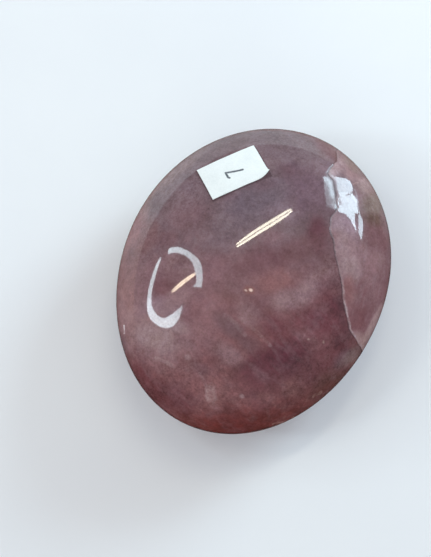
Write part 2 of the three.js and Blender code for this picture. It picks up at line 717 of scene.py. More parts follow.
@dataclass(frozen=True)
class Stone:
    """The stone, grown by Geometry Nodes from a finely divided cube.

    Polishing left faint waves, which fade out over a margin above the flat spot, and the crack's groove is
    worn away in places. Lengths that are given with MM are in metres and the others in millimetres.
    """

    form: StoneForm
    crack: Crack
    name: str = "polished_stone"
    divisions: int = 128
    wave_height: float = 0.003 * MM
    wave_gain: float = 4.0
    wave_length: float = 9.0
    flat_margin: Pair = (0.5, 4.0)
    wear_length: float = 3.0
    wear_step: Pair = (0.3, 0.6)
    edge_softness: float = 0.05 * MM
    seed: float = 4.0

    def build(self, material: bpy.types.Material) -> bpy.types.Object:
        """Makes the stone's mesh.

        Args:
            material: its finish.

        Returns:
            The stone, a plain mesh that rides on the part's body.
        """
        form = self.form
        values = {
            "Divisions": self.divisions,
            "Length": form.length,
            "Width": form.width,
            "Girdle Height": form.girdle_height,
            "Crown": form.crown,
            "Belly": form.belly,
            "Fullness": form.fullness,
            "Swelling": form.swelling,
            "Swelling Turn": form.swelling_turn,
            "Wave Height": self.wave_height,
            "Groove Depth": self.crack.groove_depth * MM,
            "Step Down": self.crack.step_down * MM,
            "Seed": self.seed,
            "Material": material,
        }
        stone = grow(self.name, self._tree(values), values)
        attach(stone, BODY)
        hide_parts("stone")
        return stone

    def _tree(self, names: Iterable[str]) -> bpy.types.NodeTree:
        """The tree that makes the stone.

        Args:
            names: the names of its inputs. They are numbers but for the divisions and the material.

        Returns:
            The tree.
        """
        kinds = {"Divisions": Kind.COUNT, "Material": Kind.MATERIAL}
        takes = {name: kinds.get(name, Kind.NUMBER) for name in names}
        board = Board.group("stone_form", TreeKind.GEOMETRY, takes, Kind.GEOMETRY.named("Geometry"))
        given = board.takes
        counts = {f"Vertices {axis}": given["Divisions"] for axis in "XYZ"}
        cube = board.field("GeometryNodeMeshCube", {"Size": (2.0, 2.0, 2.0), **counts})
        shaped = board.field("GeometryNodeSetPosition", {"Geometry": cube, "Position": self._surface(board)})
        position = board.field("GeometryNodeInputPosition")
        place = board.vectors(Vectors.SCALE, position, 1.0 / MM)
        distance = self.crack.distance(board, place, given["Girdle Height"] / MM, given["Seed"])
        note = {"Geometry": shaped, "Name": CRACK_DISTANCE, "Value": distance}
        marked = board.field("GeometryNodeStoreNamedAttribute", note, data_type="FLOAT", domain="POINT")
        offset = self._relief(board, place, distance)
        finished = board.field("GeometryNodeSetPosition", {"Geometry": marked, "Offset": offset})
        smooth = board.field("GeometryNodeSetShadeSmooth", {"Geometry": finished})
        real = board.field("GeometryNodeRealizeInstances", {"Geometry": smooth})
        dressed = board.field("GeometryNodeSetMaterial", {"Geometry": real, "Material": given["Material"]})
        return board.give({"Geometry": dressed})

    def _surface(self, board: Board) -> Field:
        """Where each point of the cube goes on the smooth stone.

        Args:
            board: the geometry tree.

        Returns:
            The place in metres.
        """
        given = board.takes
        cube_place = board.field("GeometryNodeInputPosition")
        evened = board.vectors(Vectors.TANGENT, board.vectors(Vectors.SCALE, cube_place, math.pi / 4))
        x, y, z = board.parts(board.vectors(Vectors.UNIT, evened))
        share = (x * x + y * y).root()
        angle = board.maths(Maths.ANGLE, x * -1.0, y)
        along = board.maths(Maths.COSINE, angle) / (given["Length"] / 2.0)
        across = board.maths(Maths.SINE, angle) / (given["Width"] / 2.0)
        wave = board.maths(Maths.COSINE, (angle - given["Swelling Turn"]) * 3.0)
        radius = (1.0 - given["Swelling"] * wave) / (along * along + across * across).root()
        rise = (1.0 - share ** given["Fullness"]).at_least(0.0).root()
        above = board.maths(Maths.MORE_THAN, z, 0.0)
        climb = given["Crown"] * above - given["Belly"] * (1.0 - above)
        height = given["Girdle Height"] + climb * rise
        ground = board.maths(Maths.SOFT_MAXIMUM, height, 0.0, self.edge_softness)
        return board.vector(x * radius, y * radius, ground)

    def _relief(self, board: Board, place: Field, distance: Field) -> Field:
        """How far each point leaves the smooth stone: the waves that polishing left, and the crack.

        Args:
            board: the geometry tree.
            place: the point's place in millimetres.
            distance: how far it lies to the right of the crack, in millimetres.

        Returns:
            The way that the point moves, in metres.
        """
        given = board.takes
        clear_of_flat = board.parts(place)[2].rise(*self.flat_margin)
        waver = board.waver(place, self.wave_length, detail=1.0, seed=given["Seed"])
        waves = waver * given["Wave Height"] * self.wave_gain
        worn = board.noise(place, self.wear_length, seed=given["Seed"] + 1.0).rise(*self.wear_step)
        groove = distance.bell(0.0, self.crack.groove_width) * given["Groove Depth"] * worn
        step = distance.rise(*self.crack.step_reach) * given["Step Down"]
        lift = (waves - groove - step) * clear_of_flat
        return board.vectors(Vectors.SCALE, board.field("GeometryNodeInputNormal"), lift)


@dataclass(frozen=True)
class Label:
    """The small paper label, a fine sheet laid over the stone. Lengths are in metres."""

    form: StoneForm
    name: str = "paper_label"
    length: float = 13.0 * MM
    width: float = 8.5 * MM
    thickness: float = 0.1 * MM
    gap: float = 0.04 * MM
    place: Pair = (-12.65 * MM, 16.41 * MM)
    bearing: float = math.radians(50.6)
    cell: float = 0.25 * MM
    corner_lift: float = 0.22 * MM
    corner_reach: float = 3.2 * MM
    corner_shift: Pair = (0.26 * MM, 1.07 * MM)
    corner_sharpness: float = 2.6
    cockle: float = 0.03 * MM
    cockle_turns: Pair = (1.1, 0.9)
    cockle_start: float = 0.7
    sharp_angle: float = math.radians(40)

    def build(self, material: bpy.types.Material) -> bpy.types.Object:
        """Makes the label's mesh.

        Args:
            material: its finish.

        Returns:
            The label, which rides on the part's body.
        """
        columns = round(self.length / self.cell) + 1
        rows = round(self.width / self.cell) + 1
        flat = [
            ((column / (columns - 1) - 0.5) * self.length, (row / (rows - 1) - 0.5) * self.width)
            for row in range(rows)
            for column in range(columns)
        ]
        lower = [self._laid(u, v, 0.0) for u, v in flat]
        upper = [self._laid(u, v, self.thickness) for u, v in flat]
        count = len(flat)
        faces: list[tuple[int, ...]] = []
        for row in range(rows - 1):
            for column in range(columns - 1):
                a = row * columns + column
                quad = (a, a + 1, a + 1 + columns, a + columns)
                faces.append(tuple(index + count for index in quad))
                faces.append(tuple(reversed(quad)))
        rim = self._rim(rows, columns)
        for a, b in zip(rim, rim[1:] + rim[:1]):
            faces.append((a, b, b + count, a + count))
        label = mesh_object(self.name, lower + upper, faces, material)
        smooth_below(label.data, self.sharp_angle)
        note = label.data.attributes.new(SHEET_PLACE, "FLOAT_VECTOR", "POINT")
        for item, (u, v) in zip(note.data, flat + flat):
            item.vector = (u / MM, v / MM, 0.0)
        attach(label, BODY)
        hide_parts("label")
        return label

    @staticmethod
    def _rim(rows: int, columns: int) -> list[int]:
        """The numbers of the sheet's edge points, counter-clockwise.

        Args:
            rows: how many rows of points the sheet has.
            columns: how many points a row has.

        Returns:
            The numbers.
        """
        last = rows * columns - 1
        bottom = list(range(columns - 1))
        right = list(range(columns - 1, last, columns))
        top = list(range(last, last - columns + 1, -1))
        left = list(range(last - columns + 1, 0, -columns))
        return bottom + right + top + left

    def _laid(self, u: float, v: float, lift: float) -> Vector:
        """Where a point of the flat sheet goes on the stone. One corner is pulled aside and curls up.

        Args:
            u: its place along the label from the middle.
            v: its place across the label from the middle.
            lift: its height above the sheet's lower face.

        Returns:
            The place.
        """
        middle, long_way, wide_way, normal = self.plane()
        to_corner = math.hypot(u - self.length / 2, v + self.width / 2)
        nearness = max(0.0, 1.0 - to_corner / self.corner_reach)
        u += nearness**self.corner_sharpness * self.corner_shift[0]
        v += nearness**self.corner_sharpness * self.corner_shift[1]
        place = middle + u * long_way + v * wide_way
        height = self.form.crown_height(place.x, place.y)
        curl = nearness**2 * self.corner_lift
        along, across = self.cockle_turns
        wave = math.sin(u / MM * along + self.cockle_start) * math.sin(v / MM * across)
        cockle = self.cockle * (1 + wave)
        return Vector((place.x, place.y, height + self.gap)) + normal * (lift + curl + cockle)

    def plane(self) -> tuple[Vector, Vector, Vector, Vector]:
        """The plane that touches the stone at the label's middle.

        Returns:
            The middle, the directions along and across the label, and the plane's normal.
        """
        x, y = self.place
        slope_x, slope_y = self.form.crown_slopes(x, y)
        plan_x, plan_y = math.cos(self.bearing), math.sin(self.bearing)
        normal = Vector((-slope_x, -slope_y, 1.0)).normalized()
        long_way = Vector((plan_x, plan_y, plan_x * slope_x + plan_y * slope_y)).normalized()
        middle = Vector((x, y, self.form.crown_height(x, y)))
        return middle, long_way, normal.cross(long_way), normal


def put_in_scene(name: str, data: bpy.types.ID) -> bpy.types.Object:
    """Makes an object and links it to the scene.

    Args:
        name: the object's name.
        data: its mesh or its camera.

    Returns:
        The object.
    """
    made = bpy.data.objects.new(name, data)
    bpy.context.scene.collection.objects.link(made)
    return made


def mesh_object(
    name: str,
    points: Iterable[Sequence[float]],
    faces: Iterable[Sequence[int]],
    material: bpy.types.Material,
) -> bpy.types.Object:
    """Makes a mesh object and puts it in the scene.

    Args:
        name: the object's name.
        points: its points.
        faces: the numbers of each face's points, counter-clockwise from outside.
        material: its finish.

    Returns:
        The object.
    """
    mesh = bpy.data.meshes.new(name)
    mesh.from_pydata([tuple(point) for point in points], [], [tuple(face) for face in faces])
    mesh.materials.append(material)
    return put_in_scene(name, mesh)


def smooth_below(mesh: bpy.types.Mesh, angle: float) -> None:
    """Shades a mesh smooth, with sharp edges where it bends by more than an angle in radians."""
    mesh.polygons.foreach_set("use_smooth", [True] * len(mesh.polygons))
    mesh.set_sharp_from_angle(angle=angle)


def grow(name: str, tree: bpy.types.NodeTree, values: Mapping[str, object]) -> bpy.types.Object:
    """Runs a geometry tree and keeps what it makes as a plain mesh.

    Args:
        name: the name of the new object.
        tree: the tree.
        values: the tree's inputs, by name.

    Returns:
        The object, with no modifier left on it.
    """
    made = put_in_scene(name, bpy.data.meshes.new(name))
    modifier = made.modifiers.new("form", "NODES")
    modifier.node_group = tree
    for item in tree.interface.items_tree:
        if item.in_out == "INPUT":
            modifier[item.identifier] = values[item.name]
    graph = bpy.context.evaluated_depsgraph_get()
    mesh = bpy.data.meshes.new_from_object(
        made.evaluated_get(graph), preserve_all_data_layers=True, depsgraph=graph
    )
    made.modifiers.clear()
    made.data = mesh
    mesh.name = name
    return made


# Finishes


@dataclass(frozen=True)
class Ground:
    """A material's tree, with what it knows of each place on the stone, in millimetres.

    Edge is a random pattern round 0 that makes outlines wander, and plan is the place seen from above,
    wandering with it. Upper is 1 on the upper side and 0 below the widest line. Distance is how far the
    place lies to the right of the crack, and along is how far along it. Upward runs from the deep red end
    to the violet end, and sideward runs towards the flap.
    """

    board: Board
    effects: SharedEffects
    form: StoneForm
    place: Field
    plan: Field
    upper: Field
    edge: Field
    distance: Field
    along: Field
    upward: Field
    sideward: Field

    @classmethod
    def read(cls, board: Board, effects: SharedEffects, form: StoneForm, crack: Crack) -> "Ground":
        """Reads the places in a material.

        Args:
            board: the material's tree.
            effects: the shared shader groups.
            form: the stone's shape.
            crack: the stone's crack.

        Returns:
            The places.
        """
        place = board.place()
        x, y, z = board.parts(place)
        edge = board.waver(place, 2.2, detail=4.0, seed=3.0)
        plan = board.vector(x + edge * 0.9, y - edge * 0.7, 0.0)
        girdle = form.girdle_height / MM
        upper = z.rise(girdle - 2.0, girdle)
        teeth = board.waver(place, 0.9, detail=3.0, seed=33.0, fineness=0.7) * 0.55
        distance = board.note(CRACK_DISTANCE) + teeth
        along = crack.travel(board, place, crack.run)
        upward, sideward = (board.vectors(Vectors.DOT, place, way) for way in (UPWARD, SIDEWARD))
        return cls(board, effects, form, place, plan, upper, edge, distance, along, upward, sideward)


class Tone(Enum):
    """The quartz's own colours, under its polish. Some are also laid on it as painted reflections and
    painted shade.
    """

    SMOKE = screen(120, 98, 104)
    SLATE = screen(102, 86, 97)
    HEATHER = screen(110, 82, 91)
    PLUM = screen(88, 32, 44)
    WINE = screen(110, 58, 63)
    BRICK = screen(112, 43, 42)
    RUSSET = screen(116, 76, 81)
    CLAY = screen(142, 92, 91)
    ROSE = screen(142, 101, 106)
    CLOUD = screen(150, 115, 118)
    MILK = screen(174, 146, 148)
    LILAC = screen(152, 124, 134)
    MOSS = screen(92, 68, 60)
    SHADE = screen(96, 70, 74)
    ASH = screen(127, 110, 104)
    SAND = screen(164, 132, 130)
    AMBER = screen(138, 84, 72)
    SPARK = screen(240, 206, 192)


@dataclass(frozen=True)
class Patch:
    """A soft-edged region of another colour on the upper side.

    Its centre and its reach along and across are in millimetres, seen from above. The turn is in degrees
    from +X.
    """

    centre: Pair
    reach: Pair
    turn: float
    tone: Tone
    strength: float
    softness: float = 0.6
    raggedness: float = 0.8
    depth: float = 9.0

    def over(self, ground: Ground, colour: Field) -> Field:
        """Lays the patch over a colour.

        Args:
            ground: the places on the stone.
            colour: the colour below.

        Returns:
            The colour with the patch.
        """
        x, y = self.centre
        inputs = {
            "Place": ground.place,
            "Centre": (x, y, ground.form.crown_height(x * MM, y * MM) / MM),
            "Reach": (*self.reach, self.depth),
            "Turn": math.radians(self.turn),
            "Softness": self.softness,
            "Raggedness": ground.edge * self.raggedness,
        }
        mask = ground.board.use(ground.effects.patch, inputs)
        return ground.board.blend(mask * self.strength, colour, self.tone.value)


@dataclass(frozen=True)
class Mottling:
    """A cloudy pattern of another colour. The size and the warp are in millimetres.

    Its clouds can be drawn out, by the share in stretch, along a line at an angle of turn from +X. It fades
    out above the height that below gives, along the way from the red end to the violet end.
    """

    size: float
    colour: Colour
    strength: float
    low: float
    high: float
    seed: float
    warp: float = 4.0
    stretch: float = 1.0
    turn: float = 0.0
    below: float = 100.0
    fade: float = 6.0

    def over(self, ground: Ground, colour: Field) -> Field:
        """Lays the pattern over a colour.

        Args:
            ground: the places on the stone.
            colour: the colour below.

        Returns:
            The colour with the pattern.
        """
        board = ground.board
        turned = board.turned(ground.place, -math.radians(self.turn))
        drawn_out = board.vectors(Vectors.MULTIPLY, turned, (1.0 / self.stretch, 1.0, 1.0))
        mask = ground.effects.clouds(
            board, drawn_out, size=self.size, warp=self.warp, low=self.low, high=self.high, seed=self.seed
        )
        reach = ground.upward.fall(self.below - self.fade, self.below + self.fade)
        return board.blend(mask * reach * self.strength, colour, self.colour)


@dataclass(frozen=True)
class Vein:
    """A thin line on the upper side, through points seen from above. Lengths are in millimetres."""

    course: tuple[Pair, ...]
    width: float
    strength: float
    colour: Colour = screen(178, 150, 150)

    def mask(self, ground: Ground) -> Field:
        """Where the line runs. It is fainter in places.

        Args:
            ground: the places on the stone.

        Returns:
            The line, from 0 to its strength.
        """
        line = ground.effects.line(ground.board, ground.plan, self.course, self.width)
        whole = ground.board.noise(ground.place, 1.0, seed=91.0).rise(0.32, 0.62)
        return line * ground.upper * (0.25 + 0.75 * whole) * self.strength

    def over(self, ground: Ground, colour: Field) -> Field:
        """Draws the line over a colour and returns the result."""
        return ground.board.blend(self.mask(ground), colour, self.colour)


def layered(colour: Field, layers: Iterable[Union[Patch, Mottling, Vein]], ground: Ground) -> Field:
    """Lays patches, clouds or lines over a colour, one after another.

    Args:
        colour: the colour below.
        layers: what is laid over it.
        ground: the places on the stone.

    Returns:
        The colour with all of them.
    """
    for layer in layers:
        colour = layer.over(ground, colour)
    return colour


@dataclass(frozen=True)
class ScratchedStrip:
    """The strip on the left of the crack whose polish is scratched.

    Two streaks in it are still polished: a thin one at its outer side and a broad one near the crack. A
    streak is given by its middle and its reach, and every other pair is where a change starts and ends.
    """

    outer_edge: Pair = (-2.6, -2.1)
    inner_edge: Pair = (-0.2, 0.1)
    start: Pair = (3.8, 7.6)
    end: Pair = (9.5, 12.0)
    outer_streak: Pair = (-1.85, 0.3)
    outer_streak_end: Pair = (4.5, 7.0)
    inner_streak: Pair = (-0.85, 0.5)
    inner_streak_end: Pair = (8.0, 9.5)
    scratch_drawn_out: float = 0.25
    scratch_width: float = 0.7
    scratch_swing: float = 0.6

    def mask(self, ground: Ground) -> Field:
        """How scratched a place is.

        Args:
            ground: the places on the stone.

        Returns:
            The wear, from 0 to 1.
        """
        board, along = ground.board, ground.along
        drawn_out = board.vector(ground.distance, along * self.scratch_drawn_out, 0.0)
        scratches = board.waver(drawn_out, self.scratch_width, detail=3.0, seed=51.0, fineness=0.7)
        distance = ground.distance + scratches * self.scratch_swing
        outer = distance.bell(*self.outer_streak) * along.fall(*self.outer_streak_end)
        inner = distance.bell(*self.inner_streak) * along.fall(*self.inner_streak_end)
        reach = distance.rise(*self.outer_edge) * distance.fall(*self.inner_edge)
        stretch = along.rise(*self.start) * along.fall(*self.end)
        return reach * stretch * (1.0 - outer.at_least(inner))


@dataclass(frozen=True)
class QuartzFinish:
    """Polished mauve quartz, cloudy inside, with its crack and the patches that stand out.

    A pair whose name ends in step is where a change starts and ends, and one whose name ends in line is
    where a line lies, measured to the right of the crack, and how far it reaches, all in millimetres. The
    swings say how much the clouds and the grains change a colour, and how much more in some regions.
    """

    form: StoneForm
    crack: Crack
    label: Label
    strip: ScratchedStrip = ScratchedStrip()
    deep_wine: Colour = screen(120, 54, 48)
    wine: Colour = screen(132, 82, 83)
    mauve: Colour = screen(128, 90, 94)
    violet: Colour = screen(117, 92, 97)
    flap_far: Colour = screen(134, 107, 111)
    flap_near: Colour = screen(134, 97, 100)
    crack_light: Colour = screen(176, 150, 152)
    # The crack's own dark, also laid as painted shade beside the crack and as the painted shadow round the
    # label
    crack_and_shadow_dark: Colour = screen(62, 32, 38)
    wine_step: Pair = (-33.0, -26.0)
    mauve_step: Pair = (-14.0, -2.0)
    violet_step: Pair = (-2.0, 10.0)
    step_wander: float = 10.0
    flap_step: Pair = (12.0, 30.0)
    joint_step: Pair = (-0.08, 0.08)
    dark: float = 0.6
    dark_line: Pair = (-0.15, 0.2)
    pale_line: Pair = (0.22, 0.2)
    crisp_step: Pair = (20.0, 32.0)
    shaded: float = 0.45
    shaded_line: Pair = (-0.5, 1.3)
    shaded_step: Pair = (24.0, 31.0)
    # How dark the painted contact shadow round the label is, and where it fades out
    label_shadow: float = 0.6
    label_shadow_step: Pair = (0.05, 0.4)
    tone_swing: float = 1.95
    hue_swing: float = 0.3
    grain_swing: float = 0.6
    red_end_swing: float = 0.9
    red_end_step: Pair = (-26.0, -10.0)
    violet_end_swing: float = 0.15
    violet_end_step: Pair = (-4.0, 12.0)
    right_swing: float = 0.8
    right_step: Pair = (6.0, 17.0)
    left_swing: float = 0.2
    left_step: Pair = (-20.0, -8.0)
    refraction: float = 1.544
    coat: float = 0.12
    coat_dullness: float = 0.12
    coat_refraction: float = 1.5
    scatter: float = 0.3
    scatter_depth: float = 2.5 * MM
    scatter_reach: tuple[float, float, float] = (1.0, 0.55, 0.5)
    polish: float = 0.02
    rubbed: float = 0.025
    scratched: float = 0.34
    chipped: float = 0.55
    chipped_line: Pair = (0.0, 0.5)
    chipped_step: Pair = (0.8, 3.6)
    narrow_step: Pair = (7.0, 11.0)
    ground_flat: float = 0.2
    ground_flat_step: Pair = (0.02, 0.2)
    lip_line: Pair = (0.0, 0.22)
    lip_depth: float = 0.03
    pit_depth: float = 0.003
    skin_height: float = 0.0006
    body_mottling: tuple[Mottling, ...] = (
        Mottling(1.8, screen(158, 126, 130), 0.18, 0.48, 0.72, 12.0, 1.6, 4.5, -19.0, 2.0),
        Mottling(1.8, screen(92, 56, 62), 0.2, 0.52, 0.74, 18.0, 1.6, 3.5, -22.0, 2.0),
        Mottling(3.0, screen(150, 122, 128), 0.12, 0.5, 0.74, 15.0, 3.0, 2.0, 62.0),
    )
    flap_mottling: tuple[Mottling, ...] = (
        Mottling(3.0, screen(104, 68, 74), 0.12, 0.5, 0.7, 21.0),
        Mottling(2.0, screen(170, 148, 152), 0.2, 0.52, 0.72, 23.0, 1.5, 3.0, 100.0),
    )
    body_patches: tuple[Patch, ...] = (
        # The top and the left shoulder
        Patch((-2.0, 26.0), (9.0, 3.0), 5.0, Tone.SMOKE, 0.55),
        Patch((-9.6, 26.8), (10.0, 2.0), 24.0, Tone.SHADE, 0.4),
        Patch((-17.6, 19.4), (8.0, 2.2), 55.0, Tone.SHADE, 0.7),
        Patch((3.0, 30.2), (4.0, 1.4), -20.0, Tone.RUSSET, 0.8),
        Patch((-17.0, 3.4), (4.8, 4.2), 60.0, Tone.RUSSET, 0.5),
        Patch((-12.0, 10.4), (4.6, 2.8), 50.0, Tone.SHADE, 0.3),
        Patch((-18.8, 8.0), (4.6, 2.4), 66.0, Tone.LILAC, 0.22),
        # The next two pale bands along the upper left and left rims are a painted reflection of a bright
        # surround
        Patch((-24.6, 11.4), (8.0, 1.4), 66.0, Tone.SAND, 0.35),
        Patch((-27.0, -0.6), (6.0, 1.7), 92.0, Tone.SAND, 0.6),
        Patch((-7.5, 3.6), (4.5, 3.0), 50.0, Tone.SMOKE, 0.5),
        Patch((-5.6, 13.2), (7.0, 4.0), 56.0, Tone.SLATE, 0.6),
        Patch((1.0, 13.0), (4.6, 2.0), 26.0, Tone.LILAC, 0.3),
        Patch((-6.2, 15.4), (2.8, 1.6), 56.0, Tone.SHADE, 0.3),
        Patch((3.2, 25.4), (2.8, 2.2), 100.0, Tone.LILAC, 0.45),
        Patch((-5.0, 8.6), (2.6, 1.6), 56.0, Tone.SMOKE, 0.5),
        # The next two darker patches, just past the label's lower edge, are painted shade from the label
        Patch((-11.2, 11.4), (2.0, 1.3), 30.0, Tone.HEATHER, 0.6),
        Patch((-5.4, 16.6), (2.6, 1.2), 30.0, Tone.HEATHER, 0.6),
        Patch((-1.6, 21.4), (3.0, 2.0), 10.0, Tone.HEATHER, 0.9),
        Patch((-0.6, 21.4), (3.4, 2.0), 10.0, Tone.SHADE, 0.8),
        Patch((-1.8, 22.0), (1.8, 1.0), 10.0, Tone.PLUM, 0.25),
        Patch((4.0, 18.4), (7.0, 4.2), 130.0, Tone.HEATHER, 1.0),
        Patch((6.4, 13.4), (3.6, 2.6), 60.0, Tone.SHADE, 0.7),
        Patch((8.6, 11.8), (3.6, 2.2), 110.0, Tone.PLUM, 0.7),
        # The middle
        Patch((12.0, 9.4), (5.0, 2.0), 116.0, Tone.RUSSET, 0.5),
        Patch((0.5, 7.2), (2.0, 1.6), 30.0, Tone.ROSE, 0.4),
        Patch((6.4, 7.4), (4.8, 2.4), 36.0, Tone.RUSSET, 0.7),
        Patch((1.8, 2.4), (4.0, 2.6), 40.0, Tone.RUSSET, 0.9),
        Patch((3.0, 0.8), (5.6, 2.6), 35.0, Tone.WINE, 0.22),
        Patch((-5.0, -4.0), (5.0, 3.4), 30.0, Tone.RUSSET, 0.35),
        Patch((5.2, -1.2), (4.6, 2.4), 35.0, Tone.CLAY, 0.7),
        Patch((-1.2, -1.0), (2.6, 1.6), 30.0, Tone.RUSSET, 0.7),
        Patch((8.6, -3.4), (2.9, 1.9), 40.0, Tone.CLOUD, 0.9),
        Patch((12.0, 1.2), (4.8, 1.7), 66.0, Tone.CLOUD, 0.85),
        Patch((11.4, -2.8), (2.6, 1.3), 40.0, Tone.CLOUD, 0.6),
        Patch((13.6, 4.4), (4.2, 1.9), 80.0, Tone.CLOUD, 0.85),
        Patch((-2.0, -12.0), (6.4, 2.2), -10.0, Tone.ROSE, 0.4),
        Patch((-9.2, -11.8), (2.0, 1.6), 0.0, Tone.ROSE, 0.4),
        Patch((-6.4, -5.6), (2.4, 1.4), 30.0, Tone.ROSE, 0.5),
        Patch((3.2, -9.4), (2.8, 1.9), -20.0, Tone.CLOUD, 0.65),
        Patch((9.4, -9.8), (3.6, 2.6), 160.0, Tone.WINE, 0.9),
        Patch((9.2, -9.2), (2.0, 1.4), 160.0, Tone.PLUM, 0.35),
        Patch((0.6, -13.4), (3.6, 1.6), -13.0, Tone.SHADE, 0.6),
        Patch((6.2, -14.6), (2.6, 1.5), 0.0, Tone.RUSSET, 0.8),
        Patch((-5.0, -17.0), (5.4, 3.8), 0.0, Tone.ROSE, 0.7),
        Patch((3.0, -18.2), (3.6, 1.8), -10.0, Tone.CLOUD, 0.65),
        Patch((1.2, -4.9), (1.2, 0.9), 30.0, Tone.AMBER, 0.6),
        Patch((1.45, -4.8), (0.4, 0.3), 0.0, Tone.SPARK, 0.9, 0.5, 0.3),
        Patch((0.6, -5.3), (0.3, 0.2), 0.0, Tone.SPARK, 0.5, 0.5, 0.3),
        # The dark right side and the bottom
        Patch((18.2, -2.4), (7.6, 3.2), 118.0, Tone.WINE, 0.95),
        Patch((14.4, -5.0), (5.0, 2.6), 30.0, Tone.WINE, 0.9),
        Patch((21.0, -4.8), (5.0, 3.2), 110.0, Tone.WINE, 0.9),
        Patch((22.4, -5.2), (1.6, 2.6), 20.0, Tone.PLUM, 0.5),
        Patch((17.0, -4.0), (4.4, 2.0), 26.0, Tone.PLUM, 0.45),
        Patch((14.6, -8.4), (3.4, 1.8), 26.0, Tone.WINE, 0.8),
        Patch((18.2, 0.4), (1.8, 1.6), 118.0, Tone.PLUM, 0.7),
        Patch((14.6, -13.4), (6.6, 4.4), 48.0, Tone.WINE, 0.9),
        Patch((13.4, -13.6), (4.4, 3.0), 40.0, Tone.PLUM, 1.0),
        Patch((10.4, -16.8), (3.6, 3.0), 30.0, Tone.PLUM, 0.8),
        Patch((12.2, -14.0), (2.0, 1.6), 40.0, Tone.PLUM, 0.5),
        Patch((9.0, -18.4), (2.2, 1.6), 20.0, Tone.PLUM, 0.5),
        Patch((15.2, -21.2), (2.4, 1.6), 20.0, Tone.BRICK, 0.35),
        Patch((15.0, -3.4), (3.0, 2.0), 26.0, Tone.PLUM, 0.2),
        Patch((12.0, -19.6), (6.0, 3.0), 20.0, Tone.WINE, 0.95),
        Patch((10.4, -18.2), (4.6, 2.2), 20.0, Tone.PLUM, 0.55),
        Patch((10.0, -22.4), (2.4, 1.1), 20.0, Tone.WINE, 0.5),
        Patch((13.4, -22.8), (1.8, 1.1), 20.0, Tone.CLAY, 0.6),
        Patch((20.4, -19.4), (5.4, 3.0), 50.0, Tone.BRICK, 0.4),
        Patch((18.0, -18.0), (2.4, 1.7), 30.0, Tone.CLAY, 0.9),
        Patch((22.2, -12.4), (5.4, 3.4), 60.0, Tone.WINE, 0.9),
        Patch((23.8, -13.6), (4.4, 2.2), 60.0, Tone.MOSS, 0.5),
        Patch((24.4, -15.0), (3.0, 1.4), 60.0, Tone.BRICK, 0.3),
        Patch((24.6, -7.8), (3.4, 1.4), 66.0, Tone.SMOKE, 0.5),
        Patch((15.2, -25.0), (2.4, 1.6), 30.0, Tone.BRICK, 0.7),
        Patch((9.4, -26.6), (3.4, 1.6), 20.0, Tone.BRICK, 0.4),
        Patch((10.0, -29.4), (5.8, 2.4), 18.0, Tone.BRICK, 0.85),
        Patch((13.0, -24.0), (2.2, 1.4), 18.0, Tone.WINE, 0.6),
        Patch((-0.6, -23.2), (1.8, 1.2), 0.0, Tone.RUSSET, 0.6),
        Patch((-4.4, -30.6), (6.0, 2.6), 4.0, Tone.WINE, 0.9),
        Patch((-13.4, -28.2), (6.4, 2.6), -30.0, Tone.WINE, 0.9),
        Patch((3.6, -26.2), (3.0, 2.0), -50.0, Tone.CLAY, 0.7),
        Patch((25.8, -6.2), (3.0, 1.2), 66.0, Tone.ASH, 0.45),
        Patch((15.0, -10.2), (2.2, 1.4), 30.0, Tone.PLUM, 0.35),
        Patch((16.1, -8.3), (0.24, 0.16), 30.0, Tone.SPARK, 0.25, 0.8, 0.3),
        Patch((19.1, -7.3), (0.2, 0.26), 30.0, Tone.SPARK, 0.3, 0.8, 0.3),
        Patch((9.0, -24.3), (0.5, 0.4), 0.0, Tone.MILK, 0.5, 0.5, 0.3),
        # The pale lower left
        Patch((-8.9, -22.0), (2.2, 1.6), 0.0, Tone.MILK, 0.25),
        Patch((-9.4, -23.3), (0.6, 0.6), 0.0, Tone.MILK, 0.6, 0.5, 0.3),
        Patch((-4.2, -22.2), (0.6, 0.5), 0.0, Tone.MILK, 0.5, 0.5, 0.3),
        Patch((-14.6, -21.4), (9.8, 5.0), 0.0, Tone.CLOUD, 0.9),
        Patch((-12.2, -21.2), (4.4, 2.2), 10.0, Tone.MILK, 0.5),
        Patch((-9.0, -17.6), (2.6, 1.5), 10.0, Tone.MILK, 0.5),
        Patch((-13.6, -15.4), (4.4, 2.0), 16.0, Tone.LILAC, 0.6),
        Patch((-18.6, -24.8), (2.2, 1.6), -40.0, Tone.HEATHER, 0.7),
        Patch((-21.0, -12.4), (8.0, 3.4), 100.0, Tone.CLOUD, 0.3),
        Patch((-15.0, -11.6), (2.2, 1.7), 0.0, Tone.WINE, 0.4),
        Patch((-26.4, -2.0), (1.6, 4.0), 0.0, Tone.ROSE, 0.8),
        Patch((-23.0, -3.0), (2.4, 3.6), 10.0, Tone.CLAY, 0.4),
        Patch((-18.4, -2.2), (2.2, 1.6), 20.0, Tone.RUSSET, 0.4),
        Patch((-15.4, -6.2), (2.4, 1.8), 30.0, Tone.CLOUD, 0.45),
        Patch((-11.4, -12.6), (3.2, 1.8), 60.0, Tone.CLOUD, 0.8),
        Patch((-12.2, -6.2), (1.5, 1.5), 0.0, Tone.CLOUD, 0.6),
    )
